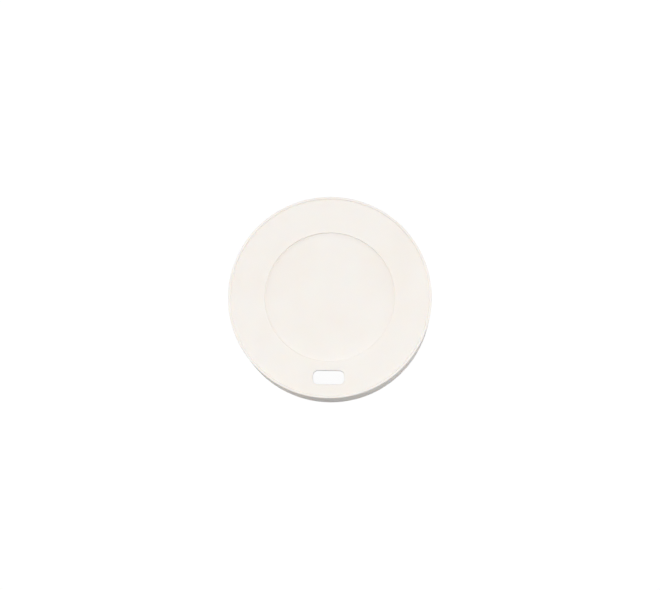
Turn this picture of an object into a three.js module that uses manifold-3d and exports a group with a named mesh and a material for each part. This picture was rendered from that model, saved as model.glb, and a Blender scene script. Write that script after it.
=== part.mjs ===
// Press-on coffee cup lid, moulded in one piece.
// Millimetres, +Z up. The origin is the centre of the skirt's foot, on the table, and the sip slot
// lies towards -Y. The lid is a revolved section with one slot cut through its plate.

import * as THREE from 'three';
import { mergeVertices } from 'three/addons/utils/BufferGeometryUtils.js';
import Module from 'manifold-3d';

// Plate and skirt
const footDiameter = 90;
const lidHeight = 20.4; // up to the top of the rim
const plateThickness = 1.6;
const skirtThickness = 1.7;
const draftDegrees = 0.5; // upright walls lean by this much, to leave their mould
const topEdgeRadius = 0.4;
const footOuterRadius = 0.4;
const footInnerRadius = 0.6;

// Raised rim round the top of the plate, with a sloping inner side
const rimRise = 0.4;
const rimWidth = 0.8;
const rimSlopeWidth = 0.4;
const rimCrownRadius = 0.2;
const rimFootRadius = 0.3;

// Round recess in the middle of the plate
const recessDepth = 0.8;
const recessEdgeRadius = 0.1;
const bossEdgeRadius = 0.3; // the recess's step on the underside

// Cup wall that goes up into the groove between the skirt and the sealing ring
const cupWallThickness = 2;
const cupClearance = 0.2;
const grooveRootRadius = 0.5;

// Sealing ring, which plugs the cup's mouth
const ringThickness = 1.2;
const ringDepth = 8;
const ringLeadRadius = 0.5;
const ringTipRadius = 0.3;
const ringRootRadius = 0.4;

// Seal lip round the ring, pressed against the inside of the cup
const sealLipBite = 0.1;
const sealLipHeight = 1.8;
const sealLipFromTip = 3.2;

// Snap bead round the inside of the skirt, pressed against the outside of the cup
const snapBeadBite = 0.2;
const snapBeadHeight = 2.4;
const snapBeadFromFoot = 4.6;

// Sip slot, in the flat land between the recess and the sealing ring
const slotLength = 13.6;
const slotWidth = 6;
const slotCornerRadius = 2.2;
const slotEdgeRadius = 0.2;
const slotToRing = 0.9; // flat underside left outside the slot
const slotToBoss = 2.4; // flat underside left inside it

// How finely round forms are divided
const turnSteps = 96;
const beadSteps = 4;
const slotCornerSteps = 6;
const slotEdgeSteps = 3;

// Places that follow from the sizes
const draftSlope = Math.tan(THREE.MathUtils.degToRad(draftDegrees));
const plateTopHeight = lidHeight - rimRise;
const undersideHeight = plateTopHeight - plateThickness;
const recessFloorHeight = plateTopHeight - recessDepth;
const bossHeight = undersideHeight - recessDepth;
const ringTipHeight = undersideHeight - ringDepth;

const skirtOuterAt = (height) => footDiameter / 2 - height * draftSlope;
const skirtInnerAt = (height) => skirtOuterAt(height) - skirtThickness;
const cupOuterRadius = skirtInnerAt(undersideHeight) - cupClearance;
const cupInnerRadius = cupOuterRadius - cupWallThickness;

const ringOuterAt = (height) => cupInnerRadius - cupClearance - (undersideHeight - height) * draftSlope;
const ringRootInnerRadius = cupInnerRadius - cupClearance - ringThickness;
const ringTipInnerRadius = ringRootInnerRadius + ringDepth * draftSlope;

// The land holds the slot between its margins, and the recess takes what is left inside it
const slotCentreRadius = ringRootInnerRadius - slotToRing - slotWidth / 2;
const bossRadius = slotCentreRadius - slotWidth / 2 - slotToBoss;
const recessRadius = bossRadius - plateThickness;
const rimInnerRadius = skirtOuterAt(lidHeight) - rimWidth;

const corner = (radius, height, round = 0, steps = 1) => ({
  at: new THREE.Vector2(radius, height),
  round,
  steps,
});

// A half-round bead as points from its lower to its upper end, standing off a wall to crestRadius
function beadCorners(wallAt, crestRadius, centreHeight, beadHeight) {
  const proud = crestRadius - wallAt(centreHeight);
  const corners = [];
  for (let step = 0; step <= beadSteps; step += 1) {
    const side = (2 * step) / beadSteps - 1;
    const height = centreHeight + (side * beadHeight) / 2;
    corners.push(corner(wallAt(height) + proud * (1 - side * side), height));
  }
  return corners;
}

// The points of an arc that touches both sides of a corner, no longer than its sides allow
function roundCorner(before, { at, round, steps }, after) {
  const toBefore = before.at.clone().sub(at);
  const toAfter = after.at.clone().sub(at);
  const longestTangent = 0.48 * Math.min(toBefore.length(), toAfter.length());
  toBefore.normalize();
  toAfter.normalize();
  const halfAngle = Math.acos(toBefore.dot(toAfter)) / 2;
  const tangent = Math.min(round / Math.tan(halfAngle), longestTangent);
  const start = at.clone().addScaledVector(toBefore, tangent);
  const end = at.clone().addScaledVector(toAfter, tangent);
  const towardsCentre = toBefore.add(toAfter).normalize();
  const centre = at.clone().addScaledVector(towardsCentre, tangent / Math.cos(halfAngle));
  const fromCentre = start.clone().sub(centre);
  const sweep = signedAngle(fromCentre, end.clone().sub(centre));
  const points = [];
  for (let step = 0; step <= steps; step += 1) {
    const turned = fromCentre.clone().rotateAround(new THREE.Vector2(), (sweep * step) / steps);
    points.push(centre.clone().add(turned));
  }
  return points;
}

function signedAngle(from, to) {
  return Math.atan2(from.cross(to), from.dot(to));
}

// Half of the lid's section, from the axis out along the underside, and back over the top
function lidSection() {
  const snapBead = beadCorners(
    skirtInnerAt,
    cupOuterRadius - snapBeadBite,
    snapBeadFromFoot,
    snapBeadHeight,
  );
  const sealLip = beadCorners(
    ringOuterAt,
    cupInnerRadius + sealLipBite,
    ringTipHeight + sealLipFromTip,
    sealLipHeight,
  );
  const corners = [
    corner(0, bossHeight),
    corner(bossRadius, bossHeight, bossEdgeRadius, 2),
    corner(bossRadius, undersideHeight, bossEdgeRadius, 2),
    corner(ringRootInnerRadius, undersideHeight, ringRootRadius, 2),
    corner(ringTipInnerRadius, ringTipHeight, ringTipRadius, 2),
    corner(ringOuterAt(ringTipHeight), ringTipHeight, ringLeadRadius, 2),
    ...sealLip,
    corner(ringOuterAt(undersideHeight), undersideHeight, grooveRootRadius, 2),
    corner(skirtInnerAt(undersideHeight), undersideHeight, grooveRootRadius, 2),
    ...snapBead.reverse(),
    corner(skirtInnerAt(0), 0, footInnerRadius, 2),
    corner(skirtOuterAt(0), 0, footOuterRadius, 2),
    corner(skirtOuterAt(lidHeight), lidHeight, topEdgeRadius, 3),
    corner(rimInnerRadius, lidHeight, rimCrownRadius, 2),
    corner(rimInnerRadius - rimSlopeWidth, plateTopHeight, rimFootRadius, 2),
    corner(recessRadius + recessDepth * draftSlope, plateTopHeight, recessEdgeRadius, 2),
    corner(recessRadius, recessFloorHeight, recessEdgeRadius, 2),
    corner(0, recessFloorHeight),
  ];
  return corners.flatMap((item, index) =>
    item.round > 0 ? roundCorner(corners[index - 1], item, corners[index + 1]) : [item.at],
  );
}

// The slot's outline, grown outwards all round by one distance
function slotOutline(grow) {
  const halfLength = slotLength / 2 + grow;
  const halfWidth = slotWidth / 2 + grow;
  const round = Math.min(slotCornerRadius, slotLength / 2, slotWidth / 2) + grow;
  const outline = [];
  for (let quarter = 0; quarter < 4; quarter += 1) {
    const alongX = quarter === 0 || quarter === 3 ? 1 : -1;
    const alongY = quarter < 2 ? 1 : -1;
    for (let step = 0; step <= slotCornerSteps; step += 1) {
      const angle = ((quarter + step / slotCornerSteps) * Math.PI) / 2;
      outline.push(
        new THREE.Vector2(
          alongX * (halfLength - round) + round * Math.cos(angle),
          alongY * (halfWidth - round) + round * Math.sin(angle),
        ),
      );
    }
  }
  return outline;
}

// The heights and growths of the slot's cutter, flared to a quarter round at both faces
function slotLevels() {
  const past = plateThickness / 2;
  const levels = [{ height: undersideHeight - past, grow: slotEdgeRadius }];
  for (let step = 0; step <= slotEdgeSteps; step += 1) {
    const angle = ((1 - step / slotEdgeSteps) * Math.PI) / 2;
    const rise = slotEdgeRadius * (1 - Math.sin(angle));
    levels.push({ height: undersideHeight + rise, grow: slotEdgeRadius * (1 - Math.cos(angle)) });
  }
  for (let step = 0; step <= slotEdgeSteps; step += 1) {
    const angle = ((step / slotEdgeSteps) * Math.PI) / 2;
    const drop = slotEdgeRadius * (1 - Math.sin(angle));
    levels.push({ height: plateTopHeight - drop, grow: slotEdgeRadius * (1 - Math.cos(angle)) });
  }
  levels.push({ height: plateTopHeight + past, grow: slotEdgeRadius });
  return levels;
}

// A closed loft through the slot's outlines, standing upright at the slot's place
function slotCutter() {
  const positions = [];
  const triangles = [];
  const levels = slotLevels();
  const perLevel = slotOutline(0).length;
  for (const { height, grow } of levels) {
    for (const point of slotOutline(grow)) {
      positions.push(point.x, point.y - slotCentreRadius, height);
    }
  }
  for (let level = 0; level < levels.length - 1; level += 1) {
    for (let index = 0; index < perLevel; index += 1) {
      const next = (index + 1) % perLevel;
      const low = level * perLevel;
      const high = low + perLevel;
      triangles.push(low + index, low + next, high + next);
      triangles.push(low + index, high + next, high + index);
    }
  }
  const top = (levels.length - 1) * perLevel;
  for (let index = 1; index < perLevel - 1; index += 1) {
    triangles.push(0, index + 1, index);
    triangles.push(top, top + index, top + index + 1);
  }
  const geometry = new THREE.BufferGeometry();
  geometry.setAttribute('position', new THREE.Float32BufferAttribute(positions, 3));
  geometry.setIndex(triangles);
  return geometry;
}

const wasm = await Module();
wasm.setup();

// A closed geometry as a solid, once its shared vertices are merged and its empty triangles dropped
function toSolid(geometry) {
  const bare = geometry.clone();
  bare.deleteAttribute('normal');
  bare.deleteAttribute('uv');
  const merged = mergeVertices(bare);
  const triangles = [];
  const index = merged.index.array;
  for (let first = 0; first < index.length; first += 3) {
    const [a, b, c] = index.slice(first, first + 3);
    if (a !== b && b !== c && c !== a) {
      triangles.push(a, b, c);
    }
  }
  return new wasm.Manifold(
    new wasm.Mesh({
      numProp: 3,
      vertProperties: new Float32Array(merged.attributes.position.array),
      triVerts: new Uint32Array(triangles),
    }),
  );
}

function toGeometry(solid) {
  const mesh = solid.getMesh();
  const geometry = new THREE.BufferGeometry();
  geometry.setAttribute('position', new THREE.BufferAttribute(mesh.vertProperties, 3));
  geometry.setIndex(new THREE.BufferAttribute(mesh.triVerts, 1));
  geometry.computeVertexNormals();
  return geometry;
}

const creamPolypropylene = new THREE.MeshStandardMaterial({
  color: '#f6f1eb',
  roughness: 0.5,
  metalness: 0,
});

function makeLid() {
  const body = new THREE.LatheGeometry(lidSection(), turnSteps);
  body.rotateX(Math.PI / 2);
  const lid = new THREE.Mesh(toGeometry(toSolid(body).subtract(toSolid(slotCutter()))), creamPolypropylene);
  lid.name = 'lid';
  return lid;
}

const coffeeCupLid = new THREE.Group();
coffeeCupLid.add(makeLid());

export default coffeeCupLid;
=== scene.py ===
import math

import bpy
from mathutils import Matrix, Vector


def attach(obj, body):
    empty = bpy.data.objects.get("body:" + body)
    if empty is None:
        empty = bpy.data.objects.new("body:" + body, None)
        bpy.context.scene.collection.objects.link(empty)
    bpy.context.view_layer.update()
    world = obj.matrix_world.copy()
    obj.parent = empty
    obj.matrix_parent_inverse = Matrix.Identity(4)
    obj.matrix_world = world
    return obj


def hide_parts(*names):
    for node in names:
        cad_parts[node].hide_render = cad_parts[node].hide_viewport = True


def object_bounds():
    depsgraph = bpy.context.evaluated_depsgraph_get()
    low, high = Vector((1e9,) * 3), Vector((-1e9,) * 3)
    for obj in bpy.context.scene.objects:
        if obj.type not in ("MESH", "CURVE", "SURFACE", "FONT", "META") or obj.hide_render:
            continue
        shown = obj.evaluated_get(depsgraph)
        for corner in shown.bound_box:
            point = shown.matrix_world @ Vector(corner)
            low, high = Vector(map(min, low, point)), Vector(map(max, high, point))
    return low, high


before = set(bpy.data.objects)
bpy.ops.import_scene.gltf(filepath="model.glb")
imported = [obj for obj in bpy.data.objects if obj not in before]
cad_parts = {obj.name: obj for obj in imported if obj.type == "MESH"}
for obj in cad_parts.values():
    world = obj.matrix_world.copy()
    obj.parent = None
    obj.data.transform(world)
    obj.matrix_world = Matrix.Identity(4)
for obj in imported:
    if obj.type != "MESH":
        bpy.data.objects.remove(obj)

# A press-on coffee cup lid, moulded in one piece. Sizes below are millimetres unless a note says
# otherwise, and Blender works in metres.

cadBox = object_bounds()
mm = 0.001
print("frame loaded")


def linearColor(hexCode):
    # an sRGB hex value as the linear colour that Blender's sockets take
    parts = [int(hexCode[place:place + 2], 16) / 255 for place in (1, 3, 5)]
    return [part / 12.92 if part <= 0.04045 else ((part + 0.055) / 1.055) ** 2.4 for part in parts] + [1.0]


def addNode(tree, kind, settings=None, inputs=None):
    # settings are the node's own options; an input is a number or colour, or a link from another socket
    node = tree.nodes.new(kind)
    for name, value in (settings or {}).items():
        setattr(node, name, value)
    for name, value in (inputs or {}).items():
        if isinstance(value, bpy.types.NodeSocket):
            tree.links.new(value, node.inputs[name])
        else:
            node.inputs[name].default_value = value
    return node


# Camera and light come first

cameraValues = {
    "azimuth": 12.8,            # degrees from -Y towards +X
    "elevation": 80.9,          # degrees above the table
    "roll": 0.8,                # degrees that the lid is turned in the picture
    "distance": 592.0,          # from the middle of the lid's top
    "lens": 73.5,
    "sensorWidth": 36.0,
    "nearestSeen": 10.0,
    "pictureSize": (660, 590),
    "lidMiddle": (329.6, 296.4),    # where the middle of the top lies in the picture, in pixels
}


def makeCamera(values, lidTop):
    data = bpy.data.cameras.new("overheadCamera")
    data.lens = values["lens"]
    data.sensor_width = values["sensorWidth"]
    data.clip_start = values["nearestSeen"] * mm
    camera = bpy.data.objects.new("overheadCamera", data)
    bpy.context.scene.collection.objects.link(camera)
    azimuth = math.radians(values["azimuth"])
    elevation = math.radians(values["elevation"])
    back = Vector((
        math.sin(azimuth) * math.cos(elevation),
        -math.cos(azimuth) * math.cos(elevation),
        math.sin(elevation),
    ))
    right = Vector((0, 1, 0)).cross(back).normalized()    # keeps +Y pointing up the picture
    right = Matrix.Rotation(math.radians(values["roll"]), 3, back) @ right
    up = back.cross(right)
    width, height = values["pictureSize"]
    pixel = values["distance"] * mm * data.sensor_width / (data.lens * width)
    across = (width / 2 - values["lidMiddle"][0]) * pixel
    down = (values["lidMiddle"][1] - height / 2) * pixel
    camera.matrix_world = Matrix((right, up, back)).transposed().to_4x4()
    camera.location = lidTop + back * values["distance"] * mm + right * across + up * down
    bpy.context.scene.camera = camera


makeCamera(cameraValues, Vector((0, 0, cadBox[1][2])))
print("camera placed")

lampValues = {
    # name: (place, width and depth of the soft box, power in watts), all aimed at the lid
    "overheadBox": ((20, -220, 1200), (900, 900), 8.9),
    "backBox": ((0, 950, 480), (1400, 300), 2.8),
    "leftBox": ((-900, 80, 480), (300, 900), 4.0),
    "rightBox": ((900, 80, 480), (300, 900), 3.8),
}


def makeLamps(values):
    for name, (place, size, power) in values.items():
        data = bpy.data.lights.new(name, "AREA")
        data.shape = "RECTANGLE"
        data.size = size[0] * mm
        data.size_y = size[1] * mm
        data.energy = power
        lamp = bpy.data.objects.new(name, data)
        bpy.context.scene.collection.objects.link(lamp)
        spot = Vector(place) * mm
        lamp.rotation_euler = spot.to_track_quat("Z", "Y").to_euler()
        lamp.location = spot


worldValues = {
    "roomColor": "#ffffff",
    "roomStrength": 0.10,       # soft fill from the rest of the studio
}


def makeWorld(values):
    world = bpy.data.worlds.new("studio")
    bpy.context.scene.world = world
    world.use_nodes = True
    tree = world.node_tree
    tree.nodes.clear()
    seen = addNode(tree, "ShaderNodeLightPath")
    color = linearColor(values["roomColor"])
    room = addNode(tree, "ShaderNodeBackground",
                   inputs={"Color": color, "Strength": values["roomStrength"]})
    white = addNode(tree, "ShaderNodeBackground", inputs={"Color": color, "Strength": 1.0})
    mix = addNode(tree, "ShaderNodeMixShader",
                  inputs={0: seen.outputs["Is Camera Ray"], 1: room.outputs[0], 2: white.outputs[0]})
    addNode(tree, "ShaderNodeOutputWorld", inputs={"Surface": mix.outputs[0]})


makeLamps(lampValues)
makeWorld(worldValues)
bpy.context.scene.view_settings.view_transform = "Standard"
print("lamps and world made")

floorValues = {
    "width": 6000,
    "paperColor": "#cccccc",
    "ownWhite": 0.965,          # what the camera sees of the paper before light falls on it
    "lightShare": 0.06,         # how much of the light and shadow on it shows on top of that
}


def makeFloor(values):
    half = values["width"] * mm / 2
    mesh = bpy.data.meshes.new("paperFloor")
    corners = [(-half, -half, 0), (half, -half, 0), (half, half, 0), (-half, half, 0)]
    mesh.from_pydata(corners, [], [(0, 1, 2, 3)])
    floor = bpy.data.objects.new("paperFloor", mesh)
    bpy.context.scene.collection.objects.link(floor)
    # Matt white backdrop paper: it bounces light as paper does, and looks white with a faint shadow
    material = bpy.data.materials.new("backdropPaperMatt")
    material.use_nodes = True
    tree = material.node_tree
    tree.nodes.clear()
    seen = addNode(tree, "ShaderNodeLightPath")
    paper = addNode(tree, "ShaderNodeBsdfDiffuse", inputs={"Color": linearColor(values["paperColor"])})
    shade = values["lightShare"]
    faint = addNode(tree, "ShaderNodeBsdfDiffuse", inputs={"Color": [shade, shade, shade, 1.0]})
    glow = addNode(tree, "ShaderNodeEmission", inputs={"Strength": values["ownWhite"]})
    looks = addNode(tree, "ShaderNodeAddShader", inputs={0: faint.outputs[0], 1: glow.outputs[0]})
    mix = addNode(tree, "ShaderNodeMixShader",
                  inputs={0: seen.outputs["Is Camera Ray"], 1: paper.outputs[0], 2: looks.outputs[0]})
    addNode(tree, "ShaderNodeOutputMaterial", inputs={"Surface": mix.outputs[0]})
    mesh.materials.append(material)


makeFloor(floorValues)
print("floor made")


# The moulded plastic

plasticValues = {
    "cream": "#f6f0ea",
    "creamDeep": "#f5eee7",     # where the pigment lies a little thicker
    "cloud": 22.0,              # width of the slow change in tone
    "cloudDetail": 2.0,
    "cloudRange": (0.35, 0.6),  # the part of the noise that runs from the deep tone to the light one
    "grain": 0.5,               # width of a pit of the spark-eroded face, about five times the real one
    "grainDetail": 3.0,
    "grainDepth": 0.012,
    "grainStrength": 0.5,
    "roughness": (0.45, 0.55),  # in the pits and between them
    "refraction": 1.49,
    "bleed": 2.0,               # how far light travels inside the plastic
    "bleedShare": 0.4,
    "bleedByColor": (1.0, 0.8, 0.6),    # red light travels furthest
}


def makePlastic(values):
    # Polypropylene, injection moulded in a spark-eroded mould: an even warm white with a soft sheen,
    # edges that stay light because some light passes through the wall, and a very fine pitted face
    material = bpy.data.materials.new("polypropyleneCreamMoulded")
    material.use_nodes = True
    tree = material.node_tree
    tree.nodes.clear()
    place = addNode(tree, "ShaderNodeTexCoord").outputs["Object"]
    cloud = addNode(tree, "ShaderNodeTexNoise",
                    inputs={"Vector": place, "Scale": 1 / (values["cloud"] * mm),
                            "Detail": values["cloudDetail"]})
    deepest, lightest = values["cloudRange"]
    spread = addNode(tree, "ShaderNodeMapRange",
                     inputs={"Value": cloud.outputs["Fac"], "From Min": deepest, "From Max": lightest})
    tone = addNode(tree, "ShaderNodeMix", settings={"data_type": "RGBA"},
                   inputs={0: spread.outputs[0], 6: linearColor(values["creamDeep"]),
                           7: linearColor(values["cream"])})
    pits = addNode(tree, "ShaderNodeTexNoise",
                   inputs={"Vector": place, "Scale": 1 / (values["grain"] * mm),
                           "Detail": values["grainDetail"]})
    face = addNode(tree, "ShaderNodeBump",
                   inputs={"Strength": values["grainStrength"], "Distance": values["grainDepth"] * mm,
                           "Height": pits.outputs["Fac"]})
    smoothest, roughest = values["roughness"]
    gloss = addNode(tree, "ShaderNodeMapRange",
                    inputs={"Value": pits.outputs["Fac"], "To Min": smoothest, "To Max": roughest})
    body = addNode(tree, "ShaderNodeBsdfPrincipled",
                   inputs={"Base Color": tone.outputs[2], "Roughness": gloss.outputs[0],
                           "IOR": values["refraction"], "Normal": face.outputs[0],
                           "Subsurface Weight": values["bleedShare"],
                           "Subsurface Radius": values["bleedByColor"],
                           "Subsurface Scale": values["bleed"] * mm})
    addNode(tree, "ShaderNodeOutputMaterial", inputs={"Surface": body.outputs[0]})
    return material


creamPlastic = makePlastic(plasticValues)
print("plastic made")


# The lid: half its section is drawn here, and a Geometry Nodes tree turns it and cuts the slot

lidValues = {
    # a name that ends in Edge is the radius of a rounding
    "footDiameter": 90.0,
    "height": 20.4,             # up to the top of the rim
    "plate": 1.6,               # thickness of the top
    "skirt": 1.7,               # thickness of the side wall
    "draft": 0.5,               # degrees, on every upright wall
    "topEdge": 0.4,
    "rimRise": 0.4,
    "rimWidth": 0.8,
    "rimSlope": 0.4,            # width of the rim's inner side
    "rimInnerEdge": 0.2,
    "rimFootEdge": 0.3,
    "footOuterEdge": 0.4,
    "footInnerEdge": 0.6,
    "recessDepth": 0.8,
    "recessEdge": 0.1,
    "bossEdge": 0.3,            # on the recess's step on the underside
    "cupWall": 2.0,
    "cupClearance": 0.2,
    "grooveRootEdge": 0.5,
    "ringThickness": 1.2,
    "ringDepth": 8.0,
    "ringLeadEdge": 0.5,
    "ringTipEdge": 0.3,
    "ringRootEdge": 0.4,
    "sealLip": (0.1, 1.8, 3.2),     # bite into the cup, height, and its middle above the ring's tip
    "snapBead": (0.2, 2.4, 4.6),    # bite into the cup, height, and its middle above the foot
    "slotLength": 13.6,
    "slotWidth": 6.0,
    "slotCorner": 2.2,
    "slotEdge": 0.2,
    "slotToRing": 0.9,          # flat underside left outside the slot
    "slotToBoss": 2.4,          # flat underside left inside it
    "gateRadius": 1.7,          # the dimple where the plastic came in, in the middle of the underside
    "gateDepth": 0.35,
    "gateSlope": 0.3,           # width of the dimple's sloping side
    "gateEdge": 0.15,
    "nubRadius": 0.6,           # what is left of the sprue, in the dimple
    "nubHeight": 0.22,
    "nubEdge": 0.1,
    "nubFootEdge": 0.06,
    "pinRadius": 2.2,           # marks of the pins that push the lid out of its mould
    "pinRing": 21.0,
    "pinDepth": 0.08,
    "pinCount": 6,
    "pinSteps": 40,
    "turnSteps": 288,
    "beadSteps": 12,
    "slotCornerSteps": 12,
    "slotEdgeSteps": 6,
    "arcStep": 8.0,             # degrees
    "longestRun": 2.2,          # between two points of a straight stretch
    "turnCircle": 1.0,          # radius of the path that the section is swept along
    "weldDistance": 0.001,
}


def lidPlaces(values):
    slope = math.tan(math.radians(values["draft"]))
    plateTop = values["height"] - values["rimRise"]
    underside = plateTop - values["plate"]

    def skirtOuter(height):
        return values["footDiameter"] / 2 - height * slope

    def skirtInner(height):
        return skirtOuter(height) - values["skirt"]

    cupOuter = skirtInner(underside) - values["cupClearance"]
    cupInner = cupOuter - values["cupWall"]

    def ringOuter(height):
        return cupInner - values["cupClearance"] - (underside - height) * slope

    ringInner = cupInner - values["cupClearance"] - values["ringThickness"]
    slotMiddle = ringInner - values["slotToRing"] - values["slotWidth"] / 2
    boss = slotMiddle - values["slotWidth"] / 2 - values["slotToBoss"]
    return {
        "slope": slope, "plateTop": plateTop, "underside": underside,
        "skirtOuter": skirtOuter, "skirtInner": skirtInner,
        "rimInner": skirtOuter(values["height"]) - values["rimWidth"],
        "cupOuter": cupOuter, "cupInner": cupInner,
        "ringOuter": ringOuter, "ringInner": ringInner,
        "ringTip": underside - values["ringDepth"], "ringTipInner": ringInner + values["ringDepth"] * slope,
        "slotMiddle": slotMiddle,
        "boss": boss, "bossHeight": underside - values["recessDepth"],
        "recess": boss - values["plate"], "recessFloor": plateTop - values["recessDepth"],
    }


def beadPoints(wall, crest, middle, height, steps):
    # a half-round bead on a wall, from its lower to its upper end
    proud = crest - wall(middle)
    points = []
    for step in range(steps + 1):
        side = 2 * step / steps - 1
        level = middle + side * height / 2
        points.append((wall(level) + proud * (1 - side * side), level, 0))
    return points


def roundCorner(before, corner, after, arcStep):
    # the points of an arc that touches both sides of a corner
    at = Vector(corner[:2])
    toBefore = Vector(before[:2]) - at
    toAfter = Vector(after[:2]) - at
    longest = 0.48 * min(toBefore.length, toAfter.length)    # leaves room for the arc at the next corner
    half = toBefore.angle(toAfter) / 2
    tangent = min(corner[2] / math.tan(half), longest)
    towards = (toBefore.normalized() + toAfter.normalized()).normalized()
    middle = at + towards * tangent / math.cos(half)
    arm = at + toBefore.normalized() * tangent - middle
    end = at + toAfter.normalized() * tangent - middle
    sweep = math.atan2(arm.x * end.y - arm.y * end.x, arm.dot(end))
    steps = max(2, math.ceil(abs(math.degrees(sweep)) / arcStep))
    return [middle + Matrix.Rotation(sweep * step / steps, 2) @ arm for step in range(steps + 1)]


def lidSection(values, places):
    # half the section, from the axis out along the underside, and back over the top
    steps = values["beadSteps"]
    bite, height, fromTip = values["sealLip"]
    lipMiddle = places["ringTip"] + fromTip
    lip = beadPoints(places["ringOuter"], places["cupInner"] + bite, lipMiddle, height, steps)
    bite, height, fromFoot = values["snapBead"]
    bead = beadPoints(places["skirtInner"], places["cupOuter"] - bite, fromFoot, height, steps)
    underside = places["underside"]
    dimpleTop = places["bossHeight"] + values["gateDepth"]
    nubTip = dimpleTop - values["nubHeight"]
    recessMouth = places["recess"] + values["recessDepth"] * places["slope"]
    # each corner is a radius, a height and the radius of its rounding
    corners = [
        (0, nubTip, 0),
        (values["nubRadius"], nubTip, values["nubEdge"]),
        (values["nubRadius"], dimpleTop, values["nubFootEdge"]),
        (values["gateRadius"] - values["gateSlope"], dimpleTop, values["gateEdge"]),
        (values["gateRadius"], places["bossHeight"], values["gateEdge"]),
        (places["boss"], places["bossHeight"], values["bossEdge"]),
        (places["boss"], underside, values["bossEdge"]),
        (places["ringInner"], underside, values["ringRootEdge"]),
        (places["ringTipInner"], places["ringTip"], values["ringTipEdge"]),
        (places["ringOuter"](places["ringTip"]), places["ringTip"], values["ringLeadEdge"]),
        *lip,
        (places["ringOuter"](underside), underside, values["grooveRootEdge"]),
        (places["skirtInner"](underside), underside, values["grooveRootEdge"]),
        *reversed(bead),
        (places["skirtInner"](0), 0, values["footInnerEdge"]),
        (places["skirtOuter"](0), 0, values["footOuterEdge"]),
        (places["skirtOuter"](values["height"]), values["height"], values["topEdge"]),
        (places["rimInner"], values["height"], values["rimInnerEdge"]),
        (places["rimInner"] - values["rimSlope"], places["plateTop"], values["rimFootEdge"]),
        (recessMouth, places["plateTop"], values["recessEdge"]),
        (places["recess"], places["recessFloor"], values["recessEdge"]),
        (0, places["recessFloor"], 0),
    ]
    points = []
    for index, corner in enumerate(corners):
        if corner[2] > 0:
            points += roundCorner(corners[index - 1], corner, corners[index + 1], values["arcStep"])
        else:
            points.append(Vector(corner[:2]))
    section = [points[0]]
    for point in points[1:]:
        start = section[-1]
        pieces = max(1, math.ceil((point - start).length / values["longestRun"]))
        section += [start.lerp(point, piece / pieces) for piece in range(1, pieces + 1)]
    return section


def sectionMesh(points, pathRadius):
    # a chain of edges as a sweep along a circle takes it: X is out from the path, and Y is down
    mesh = bpy.data.meshes.new("lidSection")
    edges = [(index, index + 1) for index in range(len(points) - 1)]
    mesh.from_pydata([((point.x - pathRadius) * mm, -point.y * mm, 0) for point in points], edges, [])
    return mesh


def addInput(tree, name, kind):
    return tree.interface.new_socket(name, in_out="INPUT", socket_type=kind).identifier


def turnSection(tree, inputs):
    # the section is swept along a small circle round the axis, and its points on the axis are merged
    section = addNode(tree, "GeometryNodeMeshToCurve", inputs={"Mesh": inputs["Geometry"]})
    circle = addNode(tree, "GeometryNodeCurvePrimitiveCircle",
                     inputs={"Resolution": inputs["Turn steps"], "Radius": inputs["Turn circle"]})
    upright = addNode(tree, "GeometryNodeSetCurveNormal", settings={"mode": "Z_UP"},
                      inputs={"Curve": circle.outputs["Curve"]})
    turned = addNode(tree, "GeometryNodeCurveToMesh",
                     inputs={"Curve": upright.outputs[0], "Profile Curve": section.outputs[0]})
    closed = addNode(tree, "GeometryNodeMergeByDistance",
                     inputs={"Geometry": turned.outputs[0], "Distance": inputs["Weld distance"]})
    return addNode(tree, "GeometryNodeFlipFaces", inputs={"Mesh": closed.outputs[0]}).outputs[0]


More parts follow.
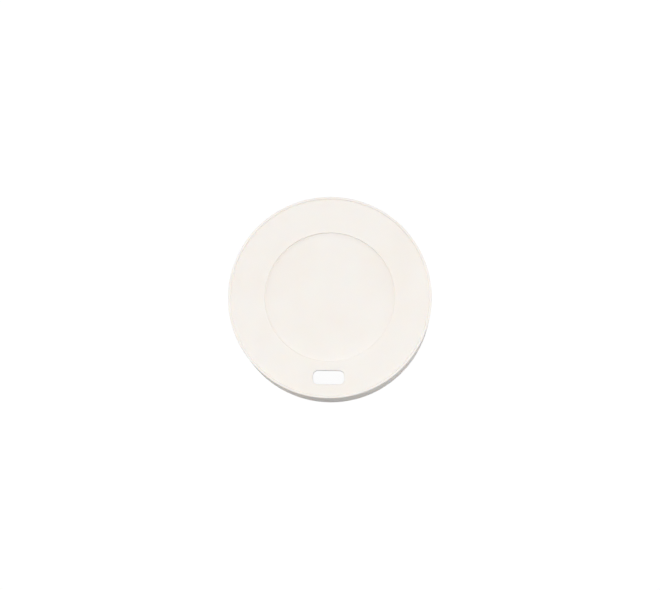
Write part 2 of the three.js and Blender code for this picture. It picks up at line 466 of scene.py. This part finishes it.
def slotCutter(tree, inputs, edgeSteps, cornerSteps):
    # a tube of rounded rectangles, which flares to a quarter round at both faces of the plate
    rings = 2 * edgeSteps + 3
    tube = addNode(tree, "GeometryNodeMeshCylinder",
                   inputs={"Vertices": 4 * cornerSteps, "Side Segments": rings, "Radius": 1.0,
                           "Depth": float(rings)})
    # half a step of turn keeps every point clear of the axes, so each has one corner to belong to
    turned = addNode(tree, "GeometryNodeTransform",
                     inputs={"Geometry": tube.outputs["Mesh"],
                             "Rotation": (0, 0, math.pi / (4 * cornerSteps))})
    # the tube has one ring for each unit of its length: first the straight wall, up to half a unit from
    # the middle, then the steps of the rounded edge, and last one ring that lies clear of the plate
    straightEnd, roundEnd = 0.5, 0.5 + edgeSteps
    spot = addNode(tree, "GeometryNodeInputPosition").outputs[0]
    level = addNode(tree, "ShaderNodeSeparateXYZ", inputs={0: spot})
    height = addNode(tree, "ShaderNodeMath", settings={"operation": "ABSOLUTE"},
                     inputs={0: level.outputs["Z"]})
    turn = addNode(tree, "ShaderNodeMapRange",
                   inputs={"Value": height.outputs[0], "From Min": straightEnd, "From Max": roundEnd,
                           "To Max": math.pi / 2})
    past = addNode(tree, "ShaderNodeMapRange",
                   inputs={"Value": height.outputs[0], "From Min": roundEnd, "From Max": roundEnd + 1})
    known = {
        "spot": spot, "turn": turn.outputs[0], "past": past.outputs[0],
        "length": inputs["Slot length"], "width": inputs["Slot width"], "corner": inputs["Slot corner"],
        "flare": inputs["Slot edge"], "middle": inputs["Slot middle"],
        "plate": inputs["Plate"], "top": inputs["Plate top"],
    }
    # each step gives its result's name, its node and operation, and what goes in
    steps = [
        ("size", "ShaderNodeCombineXYZ", None, "length", "width", "plate"),
        ("edge", "ShaderNodeCombineXYZ", None, "corner", "corner", "flare"),
        ("minusEdge", "ShaderNodeVectorMath", "MULTIPLY", "edge", (-1, -1, -1)),
        ("straight", "ShaderNodeVectorMath", "MULTIPLY_ADD", "size", (0.5, 0.5, 0.5), "minusEdge"),
        ("inset", "ShaderNodeMath", "COSINE", "turn"),
        ("outset", "ShaderNodeMath", "SUBTRACT", 1, "inset"),
        ("round", "ShaderNodeMath", "MULTIPLY_ADD", "outset", "flare", "corner"),
        ("sine", "ShaderNodeMath", "SINE", "turn"),
        ("rise", "ShaderNodeMath", "MULTIPLY", "sine", "flare"),
        ("reach", "ShaderNodeMath", "MULTIPLY_ADD", "past", "plate", "rise"),
        ("bend", "ShaderNodeCombineXYZ", None, "round", "round", "reach"),
        ("side", "ShaderNodeVectorMath", "SIGN", "spot"),
        ("flat", "ShaderNodeVectorMath", "MULTIPLY", "spot", (1, 1, 0)),
        ("upDown", "ShaderNodeVectorMath", "MULTIPLY_ADD", "side", (0, 0, 1), "flat"),
        ("bent", "ShaderNodeVectorMath", "MULTIPLY", "upDown", "bend"),
        ("form", "ShaderNodeVectorMath", "MULTIPLY_ADD", "side", "straight", "bent"),
        ("south", "ShaderNodeMath", "MULTIPLY", "middle", -1),
        ("plateMiddle", "ShaderNodeMath", "MULTIPLY_ADD", "plate", -0.5, "top"),
        ("place", "ShaderNodeCombineXYZ", None, 0, "south", "plateMiddle"),
    ]
    for name, kind, operation, *sources in steps:
        settings = {"operation": operation} if operation else None
        links = {index: known.get(source, source) for index, source in enumerate(sources)}
        known[name] = addNode(tree, kind, settings=settings, inputs=links).outputs[0]
    return addNode(tree, "GeometryNodeSetPosition",
                   inputs={"Geometry": turned.outputs[0], "Position": known["form"],
                           "Offset": known["place"]}).outputs[0]


def pinCutters(tree, inputs):
    # a ring of discs that sink a little into the underside
    ring = addNode(tree, "GeometryNodeMeshCircle",
                   inputs={"Vertices": inputs["Pin count"], "Radius": inputs["Pin ring"]})
    level = addNode(tree, "ShaderNodeCombineXYZ", inputs={"Z": inputs["Pin level"]})
    lifted = addNode(tree, "GeometryNodeTransform",
                     inputs={"Geometry": ring.outputs[0], "Translation": level.outputs[0]})
    thickness = addNode(tree, "ShaderNodeMath", settings={"operation": "MULTIPLY"},
                        inputs={0: inputs["Pin depth"], 1: 2.0})
    disc = addNode(tree, "GeometryNodeMeshCylinder",
                   inputs={"Vertices": inputs["Pin steps"], "Radius": inputs["Pin radius"],
                           "Depth": thickness.outputs[0]})
    copies = addNode(tree, "GeometryNodeInstanceOnPoints",
                     inputs={"Points": lifted.outputs[0], "Instance": disc.outputs["Mesh"]})
    return addNode(tree, "GeometryNodeRealizeInstances", inputs={"Geometry": copies.outputs[0]}).outputs[0]


def lidTree(values, places):
    tree = bpy.data.node_groups.new("turnedAndCutLid", "GeometryNodeTree")
    sizes = {
        "Slot length": values["slotLength"], "Slot width": values["slotWidth"],
        "Slot corner": values["slotCorner"], "Slot edge": values["slotEdge"],
        "Slot middle": places["slotMiddle"], "Plate": values["plate"], "Plate top": places["plateTop"],
        "Pin radius": values["pinRadius"], "Pin ring": values["pinRing"],
        "Pin depth": values["pinDepth"], "Pin level": places["bossHeight"],
        "Turn circle": values["turnCircle"], "Weld distance": values["weldDistance"],
    }
    counts = {
        "Turn steps": values["turnSteps"], "Pin count": values["pinCount"], "Pin steps": values["pinSteps"],
    }
    addInput(tree, "Geometry", "NodeSocketGeometry")
    settings = {addInput(tree, name, "NodeSocketFloat"): size * mm for name, size in sizes.items()}
    settings |= {addInput(tree, name, "NodeSocketInt"): count for name, count in counts.items()}
    settings[addInput(tree, "Plastic", "NodeSocketMaterial")] = creamPlastic
    tree.interface.new_socket("Geometry", in_out="OUTPUT", socket_type="NodeSocketGeometry")
    inputs = addNode(tree, "NodeGroupInput").outputs
    body = turnSection(tree, inputs)
    slot = slotCutter(tree, inputs, values["slotEdgeSteps"], values["slotCornerSteps"])
    for cutter in (slot, pinCutters(tree, inputs)):
        body = addNode(tree, "GeometryNodeMeshBoolean",
                       settings={"operation": "DIFFERENCE", "solver": "EXACT"},
                       inputs={"Mesh 1": body, "Mesh 2": cutter}).outputs[0]
    smooth = addNode(tree, "GeometryNodeSetShadeSmooth", inputs={"Geometry": body})
    whole = addNode(tree, "GeometryNodeRealizeInstances", inputs={"Geometry": smooth.outputs[0]})
    finished = addNode(tree, "GeometryNodeSetMaterial",
                       inputs={"Geometry": whole.outputs[0], "Material": inputs["Plastic"]})
    addNode(tree, "NodeGroupOutput", inputs={0: finished.outputs[0]})
    return tree, settings


def makeLid(values):
    places = lidPlaces(values)
    section = sectionMesh(lidSection(values, places), values["turnCircle"])
    draft = bpy.data.objects.new("lidDraft", section)
    bpy.context.scene.collection.objects.link(draft)
    tree, settings = lidTree(values, places)
    modifier = draft.modifiers.new("turnedAndCutLid", "NODES")
    modifier.node_group = tree
    for identifier, value in settings.items():
        modifier[identifier] = value
    # broad faces lead the shading, so the flats stay flat right up to their rounded edges
    weights = draft.modifiers.new("flatsLead", "WEIGHTED_NORMAL")
    weights.mode = "FACE_AREA"
    weights.weight = 100
    weights.keep_sharp = True
    bpy.context.view_layer.update()
    graph = bpy.context.evaluated_depsgraph_get()
    mesh = bpy.data.meshes.new_from_object(draft.evaluated_get(graph), depsgraph=graph)
    bpy.data.objects.remove(draft)
    mesh.name = "mouldedLid"
    lid = bpy.data.objects.new("mouldedLid", mesh)
    bpy.context.scene.collection.objects.link(lid)
    return lid


lid = makeLid(lidValues)
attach(lid, "root")
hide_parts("lid")
print("lid made:", len(lid.data.vertices), "points,", len(lid.data.polygons), "faces")
